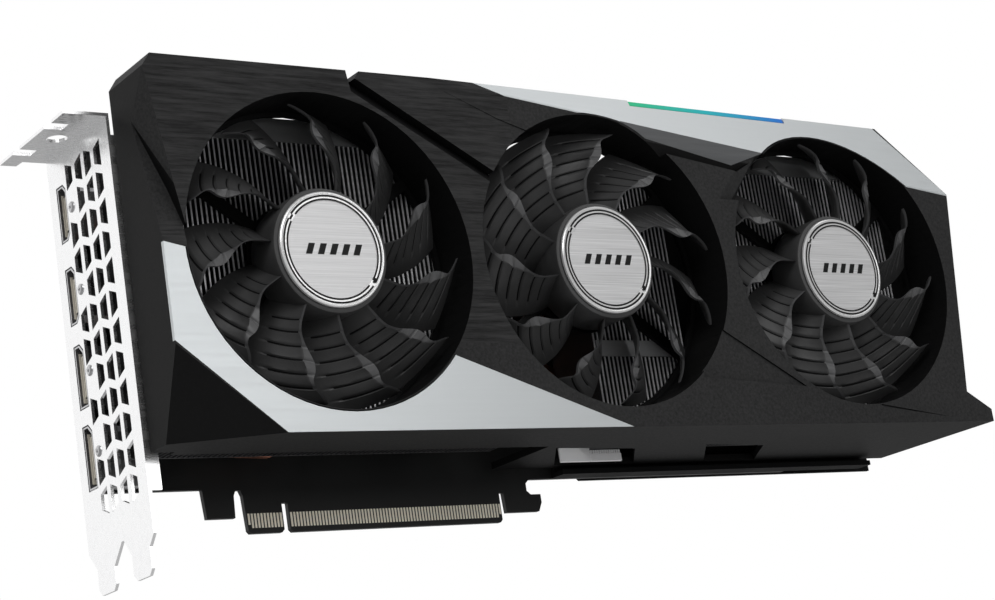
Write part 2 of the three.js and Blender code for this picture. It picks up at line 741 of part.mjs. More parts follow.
// ---- Backplate, board frame and GPU retention spring ----
// The backplate's bottom edge steps down to the board's where the edge connector ends.
const BACKPLATE_OUTLINE = [
  [3, 19],
  [6.6, 15.4],
  [160.5, 15.4],
  [163.5, BOARD_BOTTOM_Z],
  [284.5, BOARD_BOTTOM_Z],
  [284.5, 105],
  [278.5, 111],
  [6.6, 111],
  [3, 107.4],
];
const AIR_SLOTS = { count: 9, x: [250, 274], z: 24, pitch: 9, height: 4, rise: 4 };
const WINDOW_HALF = 33;
const slots = [];
for (let i = 0; i < AIR_SLOTS.count; i++) {
  const [x0, x1] = AIR_SLOTS.x;
  const low = AIR_SLOTS.z + i * AIR_SLOTS.pitch;
  const high = low + AIR_SLOTS.height;
  const outline = [[x0, low], [x1, low + AIR_SLOTS.rise], [x1, high + AIR_SLOTS.rise], [x0, high]];
  slots.push(prism("xz", outline, [2, 6]));
}
const plate = prism("xz", BACKPLATE_OUTLINE, BACKPLATE_Y);
const backplate = without(plate, [chip(GPU, WINDOW_HALF, WINDOW_HALF, [2, 6]), ...slots]);
node("backplate", backplate, blackMetal);

const FRAME_X = [150, 276];
const frameWeb = box(FRAME_X, [-1.6, -GAP], [BOARD_BOTTOM_Z, 24]);
const frameFoot = box(FRAME_X, [-6, -GAP], [BOARD_BOTTOM_Z, 13.9]);
node("board_frame", frameWeb.add(frameFoot), blackMetal);

const springArms = [45, 135].map((degrees) =>
  box([-43, 43], [1.9, 3.1], [-4, 4]).rotate([0, degrees, 0]).translate([GPU.x, 0, GPU.z]),
);
node("gpu_retention_spring", without(union(springArms), screwHoles), brightSteel);
RETENTION_HOLES.forEach(([x, z], index) => {
  const shank = cylinderY(x, z, 1.3, [-3.5, 3.6], 8);
  const head = cylinderY(x, z, 2.9, [3.4, 4.9], 12);
  node(`retention_screw_${index + 1}`, shank.add(head), brightSteel);
});

export default card;
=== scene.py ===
"""Looks of the graphics card: materials, fine pieces, light and camera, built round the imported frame.

Shapes are in millimetres until place() turns them into metres. X = 0 is the outer face of the slot
bracket, Y = 0 is the component face of the circuit board with the fans towards -Y, and Z = 0 is
the bottom edge of the edge connector. Materials, stage, lights and camera are in metres.
"""

import math

import bmesh
import bpy
from mathutils import Matrix, Vector


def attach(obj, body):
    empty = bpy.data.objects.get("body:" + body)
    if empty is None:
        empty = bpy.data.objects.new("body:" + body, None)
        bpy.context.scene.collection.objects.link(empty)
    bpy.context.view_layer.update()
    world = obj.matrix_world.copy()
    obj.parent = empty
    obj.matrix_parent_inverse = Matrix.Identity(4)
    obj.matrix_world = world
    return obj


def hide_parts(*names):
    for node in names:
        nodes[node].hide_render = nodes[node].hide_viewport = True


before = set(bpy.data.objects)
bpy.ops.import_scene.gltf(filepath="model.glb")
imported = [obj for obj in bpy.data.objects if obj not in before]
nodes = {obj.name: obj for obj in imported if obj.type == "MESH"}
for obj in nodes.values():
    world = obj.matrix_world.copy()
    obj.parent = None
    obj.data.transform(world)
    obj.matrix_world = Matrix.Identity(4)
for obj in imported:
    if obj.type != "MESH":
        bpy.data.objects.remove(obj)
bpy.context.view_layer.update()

MM = 0.001
FAN_CENTRES_X = {"left": 50.8, "center": 141.5, "right": 232.9}
FAN_Z = 64.1


# ---- Materials ----
class Nodes:
    """A small builder for one material's node tree."""

    def __init__(self, name):
        self.material = bpy.data.materials.new(name)
        self.material.use_nodes = True
        self.tree = self.material.node_tree
        self.tree.nodes.clear()
        self.shader = self.add("ShaderNodeBsdfPrincipled")
        output = self.add("ShaderNodeOutputMaterial")
        self.link(self.shader.outputs[0], output.inputs[0])
        self.place = self.add("ShaderNodeTexCoord").outputs["Object"]

    def add(self, kind, **values):
        node = self.tree.nodes.new(kind)
        for key, value in values.items():
            setattr(node, key, value)
        return node

    def link(self, source, target):
        self.tree.links.new(source, target)

    def set(self, **values):
        for key, value in values.items():
            self.shader.inputs[key.replace("_", " ")].default_value = value

    def mapped(self, scale, turn=0.0):
        """Object coordinates stretched by scale and turned about Y, in degrees."""
        node = self.add("ShaderNodeMapping")
        node.inputs["Scale"].default_value = scale
        node.inputs["Rotation"].default_value = (0, math.radians(turn), 0)
        self.link(self.place, node.inputs["Vector"])
        return node.outputs[0]

    def noise(self, scale, detail, rough=0.55, vector=None):
        node = self.add("ShaderNodeTexNoise")
        node.inputs["Scale"].default_value = scale
        node.inputs["Detail"].default_value = detail
        node.inputs["Roughness"].default_value = rough
        self.link(vector or self.place, node.inputs["Vector"])
        return node.outputs["Fac"]

    def lines(self, scale, turn=0.0, detail=3, rough=0.6):
        """Long noise streaks, for brushed surfaces."""
        return self.noise(1.0, detail, rough, self.mapped(scale, turn))

    def ramp(self, source, stops):
        node = self.add("ShaderNodeValToRGB")
        elements = node.color_ramp.elements
        while len(elements) < len(stops):
            elements.new(0.5)
        for element, (position, color) in zip(elements, stops):
            element.position = position
            element.color = (*color, 1)
        self.link(source, node.inputs[0])
        return node.outputs[0]

    def span(self, source, low, high):
        """The middle of a noise's range, 0.3 to 0.7, becomes low to high."""
        node = self.add("ShaderNodeMapRange")
        node.inputs["From Min"].default_value = 0.3
        node.inputs["From Max"].default_value = 0.7
        node.inputs["To Min"].default_value = low
        node.inputs["To Max"].default_value = high
        self.link(source, node.inputs[0])
        return node.outputs[0]

    def math(self, operation, a, b):
        node = self.add("ShaderNodeMath", operation=operation)
        for socket, value in zip(node.inputs, (a, b)):
            if isinstance(value, (int, float)):
                socket.default_value = value
            else:
                self.link(value, socket)
        return node.outputs[0]

    def both(self, a, b):
        return self.math("MULTIPLY", a, b)

    def axes(self, vector):
        node = self.add("ShaderNodeSeparateXYZ")
        self.link(vector, node.inputs[0])
        return node.outputs

    def normal_axes(self):
        return self.axes(self.add("ShaderNodeNewGeometry").outputs["Normal"])

    def blend(self, factor, a, b):
        node = self.add("ShaderNodeMix", data_type="RGBA")
        self.link(factor, node.inputs[0])
        self.link(a, node.inputs[6])
        self.link(b, node.inputs[7])
        return node.outputs[2]

    def bump(self, height, strength, distance):
        node = self.add("ShaderNodeBump")
        node.inputs["Strength"].default_value = strength
        node.inputs["Distance"].default_value = distance
        self.link(height, node.inputs["Height"])
        self.link(node.outputs[0], self.shader.inputs["Normal"])

    def color(self, source):
        self.link(source, self.shader.inputs["Base Color"])

    def roughness(self, source):
        self.link(source, self.shader.inputs["Roughness"])


def shade(base, share):
    return tuple(min(1.0, c * share) for c in base)


def grained(name, base, rough, grain=2600, depth=0.00003, metallic=0.0, level=0.5, vary=0.18):
    """Moulded plastic or painted metal: fine grain, with soft patches in colour and gloss."""
    m = Nodes(name)
    m.set(Metallic=metallic, Specular_IOR_Level=level)
    patches = m.noise(60, 4)
    m.color(m.ramp(patches, [(0.3, shade(base, 1 - vary)), (0.7, shade(base, 1 + vary))]))
    m.roughness(m.span(patches, rough - 0.05, rough + 0.07))
    m.bump(m.noise(grain, 2, 0.6), 0.5, depth)
    return m.material


def brushed(name, base, rough, turn, metallic, along, across, vary=0.12, depth=0.00001):
    """Metal with fine parallel brush lines; turn is about Y, in degrees from +X."""
    m = Nodes(name)
    m.set(Metallic=metallic, Specular_IOR_Level=0.5)
    lines = m.lines((along, across, across), turn)
    m.color(m.ramp(lines, [(0.25, shade(base, 1 - vary)), (0.75, shade(base, 1 + vary))]))
    m.roughness(m.span(lines, rough - 0.06, rough + 0.1))
    m.bump(lines, 0.35, depth)
    return m.material


SHROUD_PROUD_Y = -0.0519
SHROUD_END_X = 0.012
SHROUD_END_LOW_Z = 0.0645
BRUSHED_RIGHT_X = 0.114
BRUSHED_LOW_Z = 0.039
BRUSHED_TURN = 16


def shroud_plastic():
    """Black plastic: slanted brush lines on the left of the front, fine grain elsewhere.

    The proud front faces and the facets at the bracket end get a lighter painted lit tone; walls and
    recesses get a darker painted shade.
    """
    m = Nodes("shroud_black")
    m.set(Specular_IOR_Level=0.09)
    place = m.axes(m.place)
    normal = m.normal_axes()
    face = m.both(
        m.math("LESS_THAN", normal["Y"], -0.9),
        m.math("LESS_THAN", place["Y"], SHROUD_PROUD_Y),
    )
    # Painted light: the facets at the bracket end are made lighter, as they face the light from the
    # left.
    lit_end_facets = m.both(
        m.both(
            m.math("LESS_THAN", normal["Y"], -0.12),
            m.math("GREATER_THAN", place["Z"], SHROUD_END_LOW_Z),
        ),
        m.math("LESS_THAN", place["X"], SHROUD_END_X),
    )
    front = m.math("MAXIMUM", face, lit_end_facets)
    corner = m.both(
        m.math("LESS_THAN", place["X"], BRUSHED_RIGHT_X),
        m.math("GREATER_THAN", place["Z"], BRUSHED_LOW_Z),
    )
    relief = m.add("ShaderNodeMix")
    m.link(m.both(corner, face), relief.inputs["Factor"])
    m.link(m.span(m.noise(1200, 3, 0.7), 0.4, 0.6), relief.inputs["A"])
    m.link(m.lines((70, 1150, 1150), BRUSHED_TURN, 4, 0.7), relief.inputs["B"])
    height = relief.outputs["Result"]
    patches = m.noise(25, 3)
    tone = m.math("ADD", m.math("MULTIPLY", height, 0.85), m.math("MULTIPLY", patches, 0.15))
    # Painted light and shade: faces in the mask get the lighter lit tone; walls, recesses and duct
    # insides get the darker painted shade.
    lit = m.ramp(tone, [(0.36, (0.011, 0.011, 0.0112)), (0.64, (0.042, 0.042, 0.0425))])
    painted_shade_tone = m.ramp(tone, [(0.34, (0.004, 0.004, 0.0041)), (0.66, (0.008, 0.008, 0.0082))])
    m.color(m.blend(front, painted_shade_tone, lit))
    m.roughness(m.span(height, 0.46, 0.62))
    m.bump(height, 0.5, 0.00006)
    return m.material


def satin_silver():
    """Satin metal paint with a faint level brush; the facet that is folded under gets a darker painted
    shade.
    """
    m = Nodes("satin_silver")
    m.set(Metallic=0.6)
    # Painted shade: faces that turn downwards get the dark grey, as little light reaches them from
    # below.
    under = m.math("LESS_THAN", m.normal_axes()["Z"], -0.2)
    lines = m.lines((20, 900, 900))
    pale = m.ramp(lines, [(0.25, (0.55, 0.575, 0.585)), (0.75, (0.575, 0.60, 0.61))])
    grey = m.ramp(lines, [(0.25, (0.15, 0.155, 0.16)), (0.75, (0.19, 0.195, 0.2))])
    m.color(m.blend(under, pale, grey))
    m.roughness(m.span(lines, 0.33, 0.4))
    m.bump(lines, 0.3, 0.000002)
    return m.material


LIGHT_BAR_ENDS = (0.161, 0.225)


def light_strip():
    """Diffuser that runs from green to blue along the card."""
    m = Nodes("light_strip")
    along = m.add("ShaderNodeMapRange")
    along.inputs["From Min"].default_value, along.inputs["From Max"].default_value = LIGHT_BAR_ENDS
    m.link(m.axes(m.place)["X"], along.inputs[0])
    green, teal, blue = (0.02, 0.36, 0.16), (0.01, 0.30, 0.34), (0.01, 0.11, 0.42)
    glow = m.ramp(along.outputs[0], [(0.0, green), (0.5, teal), (1.0, blue)])
    m.color(glow)
    m.link(glow, m.shader.inputs["Emission Color"])
    m.set(Emission_Strength=0.5, Roughness=0.5, Specular_IOR_Level=0.2)
    m.bump(m.noise(900, 2), 0.2, 0.00003)
    return m.material


SHROUD = shroud_plastic()
FAN = grained("fan_plastic", (0.042, 0.042, 0.0425), 0.46, 1300, 0.00007, vary=0.3)
# Painted shade: a near-black tone on the blades' groove floors, where shade falls.
FAN_GROOVE_SHADE = grained("fan_groove_painted_shade", (0.006, 0.006, 0.0062), 0.6, 2400, level=0.15)
# Painted highlight: a lighter tone on the blades' leading-edge walls and the strip behind them.
FAN_EDGE_HIGHLIGHT = grained("fan_edge_painted_highlight", (0.078, 0.078, 0.08), 0.45, 1300, 0.00006, vary=0.2)
# Real dark plastic of the fan mounts; also a painted shade on the first fins by the bracket.
DARK_PLASTIC_AND_FIN_SHADE = grained("dark_plastic_and_fin_shade", (0.005, 0.005, 0.0052), 0.55, level=0.12)
SILVER = satin_silver()
BADGE = brushed("badge_brushed", (0.63, 0.63, 0.635), 0.36, 0, 0.35, 30, 3200, 0.22, 0.000008)
RIM = grained("badge_rim", (0.78, 0.78, 0.78), 0.25, 900, 0.000004, 0.5, vary=0.03)
INK = grained("badge_black", (0.004, 0.004, 0.004), 0.45, 2500, level=0.2)
ALUMINIUM = brushed("fin_aluminium", (0.09, 0.09, 0.094), 0.45, 90, 0.85, 60, 1800, 0.2)
# Painted highlight: the fins' folded front edges are far lighter than the fin faces, so that they show
# in the shade inside the shroud.
FIN_FOLD_HIGHLIGHT = brushed("fin_fold_painted_highlight", (0.75, 0.75, 0.76), 0.4, 90, 0.25, 60, 1200, 0.2)
POLISHED = grained("polished_edge", (0.92, 0.92, 0.93), 0.3, 1200, 0.000003, 0.2, vary=0.03)
GUIDE = grained("air_guide", (0.42, 0.425, 0.43), 0.45, 1800, metallic=0.3)
COPPER = brushed("copper", (0.36, 0.15, 0.095), 0.36, 0, 0.95, 60, 1600, 0.16)
BRIGHT = brushed("nickel_plate", (0.95, 0.95, 0.955), 0.24, 90, 0.95, 30, 500, 0.012, 0.0000005)
BLACK_METAL = grained("black_powder_coat", (0.007, 0.0072, 0.0075), 0.6, 1500, 0.00005, level=0.07)
BOARD = grained("solder_mask", (0.0085, 0.0088, 0.0088), 0.45, 700, 0.00002, level=0.3)
CHIP = grained("moulded_package", (0.008, 0.008, 0.0085), 0.55, 3000, level=0.3)
DIE = grained("silicon_die", (0.16, 0.17, 0.2), 0.12, 500, 0.000002, 0.9, vary=0.04)
BRASS = brushed("bronze_bush", (0.42, 0.28, 0.12), 0.35, 0, 0.95, 80, 1200)
FERRITE = grained("ferrite", (0.035, 0.035, 0.037), 0.6, 1800)
GOLD = grained("contact_gold", (0.95, 0.88, 0.74), 0.4, 1500, 0.000004, 0.2, vary=0.06)
STEEL = grained("screw_steel", (0.55, 0.55, 0.56), 0.28, 1600, 0.000006, 0.95, vary=0.06)
GLOW = light_strip()

CAD_LOOKS = {
    "shroud": SHROUD,
    "lower_accent_trim": SILVER,
    "upper_accent_trim": SILVER,
    "light_bar": GLOW,
    "cold_plate": COPPER,
    "memory_plate": BLACK_METAL,
    "circuit_board": BOARD,
    "gpu_package": CHIP,
    "gpu_die": DIE,
    "io_bracket": BRIGHT,
    "bios_switch_housing": BLACK_METAL,
    "bios_switch_slider": STEEL,
    "backplate": BLACK_METAL,
    "board_frame": BLACK_METAL,
    "gpu_retention_spring": STEEL,
}
PREFIX_LOOKS = {
    "fin_stack_": ALUMINIUM,
    "heat_pipe_": COPPER,
    "memory_chip_": CHIP,
    "video_port_": STEEL,
    "power_socket_": CHIP,
    "retention_screw_": STEEL,
}
FAN_LOOKS = {
    "rotor": FAN,
    "badge": BADGE,
    "magnet_ring": FERRITE,
    "shaft": STEEL,
    "mount": DARK_PLASTIC_AND_FIN_SHADE,
    "stator": COPPER,
    "bearing": BRASS,
}


def look_of(name):
    if name in CAD_LOOKS:
        return CAD_LOOKS[name]
    for prefix, look in PREFIX_LOOKS.items():
        if name.startswith(prefix):
            return look
    return FAN_LOOKS[name.split("_", 2)[2]]


EDGE_WIDTHS = {
    "shroud": 0.25,
    "lower_accent_trim": 0.12,
    "upper_accent_trim": 0.12,
    "io_bracket": 0.12,
}
EDGE_WIDTH = 0.1
for name, obj in nodes.items():
    obj.data.materials.clear()
    obj.data.materials.append(look_of(name))
    bevel = obj.modifiers.new("edges", "BEVEL")
    bevel.width = EDGE_WIDTHS.get(name, EDGE_WIDTH) * MM
    bevel.segments = 2
    bevel.limit_method = "ANGLE"
    bevel.angle_limit = math.radians(20)
    bevel.harden_normals = True


# ---- Mesh helpers ----
def place(name, mesh, materials, slot, body="card", replaces=(), smooth=0):
    """A finished mesh in millimetres becomes a piece that rides on a body of the frame.

    Edges flatter than smooth, in degrees, are shaded smooth.
    """
    bmesh.ops.recalc_face_normals(mesh, faces=mesh.faces)
    bmesh.ops.scale(mesh, vec=(MM, MM, MM), verts=mesh.verts)
    data = bpy.data.meshes.new(name)
    mesh.to_mesh(data)
    mesh.free()
    if smooth:
        for polygon in data.polygons:
            polygon.use_smooth = True
        data.set_sharp_from_angle(angle=math.radians(smooth))
    for material in materials:
        data.materials.append(material)
    obj = bpy.data.objects.new(name, data)
    bpy.context.scene.collection.objects.link(obj)
    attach(obj, body)
    if replaces:
        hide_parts(*replaces)


def grid(mesh, rows, closed=False, index=0):
    """Quads between rows of points; closed joins each row's end to its start."""
    made = [[mesh.verts.new(p) for p in row] for row in rows]
    for a, b in zip(made, made[1:]):
        count = len(a) if closed else len(a) - 1
        for i in range(count):
            j = (i + 1) % len(a)
            face = mesh.faces.new((a[i], a[j], b[j], b[i]))
            face.material_index = index
    return made


def circle(radius, sides):
    turns = [2 * math.pi * i / sides for i in range(sides)]
    return [(radius * math.cos(a), radius * math.sin(a)) for a in turns]


# A profile that reaches the axis ends on a tiny ring instead, so that no quad folds to a triangle.
AXIS_R = 1e-4


def spin(mesh, profile, index=0):
    """A surface about the Y axis from (radius, y) points."""
    rows = [[(u, y, v) for u, v in circle(max(radius, AXIS_R), 96)] for radius, y in profile]
    grid(mesh, rows, True, index)


def block(mesh, x, y, z, index=0, chamfer=0.0):
    """A box between two X, two Y and two Z values."""
    made = bmesh.ops.create_cube(mesh, size=1)["verts"]
    size = (x[1] - x[0], y[1] - y[0], z[1] - z[0])
    middle = ((x[0] + x[1]) / 2, (y[0] + y[1]) / 2, (z[0] + z[1]) / 2)
    bmesh.ops.scale(mesh, vec=size, verts=made)
    bmesh.ops.translate(mesh, vec=middle, verts=made)
    for face in {f for v in made for f in v.link_faces}:
        face.material_index = index
    if chamfer:
        edges = list({e for v in made for e in v.link_edges})
        bmesh.ops.bevel(mesh, geom=edges, offset=chamfer, segments=1, affect="EDGES", profile=0.5)


def to_fan(mesh, fan):
    bmesh.ops.translate(mesh, vec=(FAN_CENTRES_X[fan], 0, FAN_Z), verts=mesh.verts)


# ---- Fan rotors: a hub with eleven swept, grooved blades ----
BLADES = 11
ROOT_R = 16.6
TIP_R = 41.2
BLADE_FRONT_Y = -50.9
BLADE_DROP = 11.2
BLADE_THICK = 1.0
EDGE_STEP = 0.2
TIP_DROP = 1.2
TIP_SHARE = 0.9
# Where each fan's first blade stands, in degrees, and which way the fan turns.
PHASES = {"left": 8.5, "center": 18, "right": 8}
HANDS = {"left": 1, "center": -1, "right": 1}
# Angles in degrees from root to tip: the leading edge sweeps forward, the trailing edge follows.
SWEEP = 24
CHORD = 22.5
TRAIL_SWEEP = 22
# Waves of the leading edge as (height in degrees, centre, width), along the blade from 0 to 1.
LEAD_WAVES = ((-2.2, 0.30, 0.16), (2.6, 0.60, 0.13), (-2.6, 0.83, 0.09))
# Shares of the chord where the blade has a row of points, from leading to trailing edge.
CHORD_SHARES = (0, 0.02, 0.05, 0.09, 0.15, 0.22, 0.30, 0.38, 0.46, 0.54, 0.62, 0.72, 0.84, 1.0)
RADIUS_STEPS = 30
GROOVE_RADII = (21.6, 24.9, 28.2, 31.5, 34.8, 38.0)
GROOVE_OFFSETS = (-0.45, -0.22, 0, 0.22, 0.45)
GROOVE_DEPTH = 0.6
GROOVE_HALF = 0.4
GROOVE_FACES_HALF = 0.24
GROOVE_START = 0.02
GROOVE_END = 0.74
GROOVE_FADE = 0.12
# Material slots of a rotor: painted shade on the groove floors, painted highlight on the leading edge.
GROOVE_SHADE_SLOT, EDGE_HIGHLIGHT_SLOT = 1, 2
HUB_OUTSIDE = (
    (15.2, -39.4),
    (17.0, -39.4),
    (17.2, -39.8),
    (17.2, -50.7),
    (16.9, -51.4),
    (16.3, -51.6),
    (0, -51.6),
)
HUB_INSIDE = ((15.2, -39.4), (15.2, -50.2), (0, -50.2))


def along_blade(r):
    return (r - ROOT_R) / (TIP_R - ROOT_R)


def wave(r):
    """Sideways wave of the leading edge, in degrees: in, out at the shoulder, in near the tip."""
    share = along_blade(r)
    return sum(h * math.exp(-(((share - centre) / width) ** 2)) for h, centre, width in LEAD_WAVES)


def shoulder(r):
    """Width in degrees of the flat strip on the leading edge: a lens in the blade's outer half."""
    rise = max(0.0, 1 - abs(along_blade(r) - 0.62) / 0.2)
    return 0.35 + 4.6 * rise


def groove(r, across):
    """Depth of the grooves: each starts behind the leading edge and fades towards the trailing one."""
    nearest = min(abs(r - g) for g in GROOVE_RADII)
    start = min(1.0, across / GROOVE_START)
    end = max(0.0, min(1.0, (GROOVE_END - across) / GROOVE_FADE))
    return GROOVE_DEPTH * max(0.0, 1 - (nearest / GROOVE_HALF) ** 2) * start * end


def blade_radii():
    values = {ROOT_R + (TIP_R - ROOT_R) * i / RADIUS_STEPS for i in range(RADIUS_STEPS + 1)}
    values.update(g + offset for g in GROOVE_RADII for offset in GROOVE_OFFSETS)
    return sorted(values)


def blade_rows(base, hand):
    """Points of the blade's front and back, one row for each radius."""
    fronts, backs = [], []
    for r in blade_radii():
        share = along_blade(r)
        lead = base + SWEEP * share**1.25 + wave(r)
        trail = base - CHORD + TRAIL_SWEEP * share**1.2
        start = lead - shoulder(r)
        front_row, back_row = [], []
        for k, s in enumerate(CHORD_SHARES):
            cut = groove(r, s) if k else 0.0
            angle = start + (trail - start) * s if k else lead
            y = BLADE_FRONT_Y + (EDGE_STEP + BLADE_DROP * s**0.8 + cut if k else 0)
            if share > TIP_SHARE:
                y += TIP_DROP * (1 - s) * ((share - TIP_SHARE) / (1 - TIP_SHARE)) ** 2
            x, z = hand * r * math.cos(math.radians(angle)), r * math.sin(math.radians(angle))
            front_row.append((x, y, z))
            back_row.append((x, y + BLADE_THICK - cut, z))
        fronts.append(front_row)
        backs.append(back_row)
    return fronts, backs


def add_blade(mesh, base, hand):
    """One closed blade: groove floors in a painted shade, the leading edge in a painted highlight."""
    fronts, backs = blade_rows(base, hand)
    front = grid(mesh, fronts)
    back = grid(mesh, backs)
    last = len(CHORD_SHARES) - 1
    radii = blade_radii()
    for i in range(len(front) - 1):
        middle = (radii[i] + radii[i + 1]) / 2
        if min(abs(middle - g) for g in GROOVE_RADII) < GROOVE_FACES_HALF:
            floor_points = front[i][1:11] + front[i + 1][1:11]
            for face in {f for v in front[i][2:11] for f in v.link_faces}:
                if all(v in floor_points for v in face.verts):
                    face.material_index = GROOVE_SHADE_SLOT
        mesh.faces.new((front[i][0], back[i][0], back[i + 1][0], front[i + 1][0]))
        for face in front[i][0].link_faces:
            face.material_index = EDGE_HIGHLIGHT_SLOT
        mesh.faces.new((front[i][last], front[i + 1][last], back[i + 1][last], back[i][last]))
    for row in (0, len(front) - 1):
        for j in range(last):
            ends = (front[row][j], front[row][j + 1], back[row][j + 1], back[row][j])
            mesh.faces.new(ends)


def rotor(fan):
    mesh = bmesh.new()
    spin(mesh, HUB_OUTSIDE)
    spin(mesh, HUB_INSIDE)
    for i in range(BLADES):
        add_blade(mesh, i * 360 / BLADES + PHASES[fan], HANDS[fan])
    to_fan(mesh, fan)
    looks = [FAN, FAN_GROOVE_SHADE, FAN_EDGE_HIGHLIGHT]
    place(f"rotor_{fan}", mesh, looks, "fan_plastic", f"fan_{fan}", [f"fan_{fan}_rotor"], 40)


# ---- Badges: a brushed disc, a turned rim and two fine black rings joined by steps ----
DISC_R = 13.3
DISC_Y = -52.45
RIM_PROFILE = (
    (DISC_R, DISC_Y),
    (13.35, -52.6),
    (14.95, -52.62),
    (15.05, -52.68),
    (15.4, -52.69),
    (15.7, -52.5),
    (15.8, -51.95),
    (0, -51.9),
)
RIM_SLOT, INK_SLOT = 1, 2
INK_Y = -52.66
OUTER_RING = (14.3, 14.85)
INNER_RING = (13.35, 13.85)
RING_ARCS = ((-38, 141), (147, 318))
STEP_RING = (13.8, 14.4)
STEP_ANGLES = (144, -36)
STEP_HALF = 3.4
BARS = 5
BAR_PITCH = 3.6
BAR_LEFT = -8.4
BAR_WIDTH = 1.9
BAR_HALF_HEIGHT = 1.5
BAR_SLANT = 1.3
BAR_Y = -52.49


def ink_arc(mesh, ring, start, end):
    """A flat black arc between two radii, from start to end in degrees."""
    steps = max(2, int(abs(end - start) / 3))
    angles = [math.radians(start + (end - start) * i / steps) for i in range(steps + 1)]
    rows = [[(r * math.cos(a), INK_Y, r * math.sin(a)) for a in angles] for r in ring]
    grid(mesh, rows, False, INK_SLOT)


def badge(fan):
    mesh = bmesh.new()
    spin(mesh, [(0, DISC_Y), (DISC_R, DISC_Y)])
    spin(mesh, RIM_PROFILE, RIM_SLOT)
    for start, end in RING_ARCS:
        ink_arc(mesh, OUTER_RING, start, end)
        ink_arc(mesh, INNER_RING, start + 1, end - 3)
    for angle in STEP_ANGLES:
        ink_arc(mesh, STEP_RING, angle - STEP_HALF, angle + STEP_HALF)
    for i in range(BARS):
        left = BAR_LEFT + i * BAR_PITCH
        foot = [(left, -BAR_HALF_HEIGHT), (left + BAR_WIDTH, -BAR_HALF_HEIGHT)]
        head = [(x + BAR_SLANT, BAR_HALF_HEIGHT) for x, _ in reversed(foot)]
        bar = mesh.faces.new([mesh.verts.new((x, BAR_Y, z)) for x, z in foot + head])
        bar.material_index = INK_SLOT
    to_fan(mesh, fan)
    looks = [BADGE, RIM, INK]
    place(f"badge_{fan}", mesh, looks, "badge", f"fan_{fan}", [f"fan_{fan}_badge"], 30)


for fan in FAN_CENTRES_X:
    rotor(fan)
    badge(fan)


# ---- Heatsink: thin fins, each with a folded front edge and a lip at the top ----
FIN_STACKS = {"left": (5, 118), "middle": (145.5, 179), "right": (186, 271)}
FIN_PITCH = 1.5
FIN_THICK = 0.28
FOLD_WIDTH = 0.42
LIP_GAP = 0.06
FIN_Y = (-35.2, -15.3)
FOLD_Y = (-35.5, -35.2)
LIP_Y = (-35.4, -15)
BASE_Y = (-15.6, -15)
FIN_Z = (17.8, 99.5)
LIP_Z = (99.2, 99.5)
# The first fins by the bracket get a near-black painted shade, as the vents there look into the dark.
SHADED_FINS_END_X = 7
FIN_SLOT, FOLD_HIGHLIGHT_SLOT, FIN_SHADE_SLOT = 0, 1, 2
for stack, (x0, x1) in FIN_STACKS.items():
    fins = bmesh.new()
    block(fins, (x0, x1), BASE_Y, FIN_Z)
    x = x0
    while x < x1 - 0.4:
        block(fins, (x, x + FIN_THICK), FIN_Y, FIN_Z, FIN_SHADE_SLOT if x < SHADED_FINS_END_X else FIN_SLOT)
        block(fins, (x, x + FOLD_WIDTH), FOLD_Y, FIN_Z, FOLD_HIGHLIGHT_SLOT)
        block(fins, (x, x + FIN_PITCH - LIP_GAP), LIP_Y, LIP_Z)
        x += FIN_PITCH
    looks = [ALUMINIUM, FIN_FOLD_HIGHLIGHT, DARK_PLASTIC_AND_FIN_SHADE]
    place(f"fins_{stack}", fins, looks, "aluminium", replaces=[f"fin_stack_{stack}"])

# Steep guide plates above the left and right stacks.
GUIDES = {"left": (20, 112), "right": (200, 264)}
GUIDE_SECTION = ((-35.4, 99.8), (-30.4, 108.3), (-29.7, 107.9), (-34.6, 99.6))
GUIDE_STEPS = 8
for stack, (x0, x1) in GUIDES.items():
    guide = bmesh.new()
    steps = [x0 + (x1 - x0) * k / GUIDE_STEPS for k in range(GUIDE_STEPS + 1)]
    rings = grid(guide, [[(x, y, z) for y, z in GUIDE_SECTION] for x in steps], True)
    for ring in (rings[0], rings[-1]):
        guide.faces.new(ring)
    place(f"air_guide_{stack}", guide, [GUIDE], "aluminium")

# A cross plate clips the middle stack.
clip = bmesh.new()
block(clip, (146, 177), (-36, -35.6), (40.3, 45.1), chamfer=0.1)
place("fin_clip", clip, [GUIDE], "aluminium")

# Below it is a bright folded skirt: a high part, then a low part with a row of teeth.
SKIRT_Y = (-20, -19.2)
SKIRT_FOOT_Z = 13.0
SKIRT_LOW_Z = 15.4
SKIRT_TEETH = 13
TOOTH_PITCH = 0.86
skirt = bmesh.new()
block(skirt, (139, 150), SKIRT_Y, (SKIRT_FOOT_Z, 17.2), chamfer=0.15)
block(skirt, (150, 161.5), SKIRT_Y, (SKIRT_FOOT_Z, SKIRT_LOW_Z), chamfer=0.15)
for k in range(SKIRT_TEETH):
    left = 150.2 + k * TOOTH_PITCH
    block(skirt, (left, left + 0.5), SKIRT_Y, (SKIRT_LOW_Z, SKIRT_LOW_Z + 1))
place("fin_skirt", skirt, [POLISHED], "aluminium")


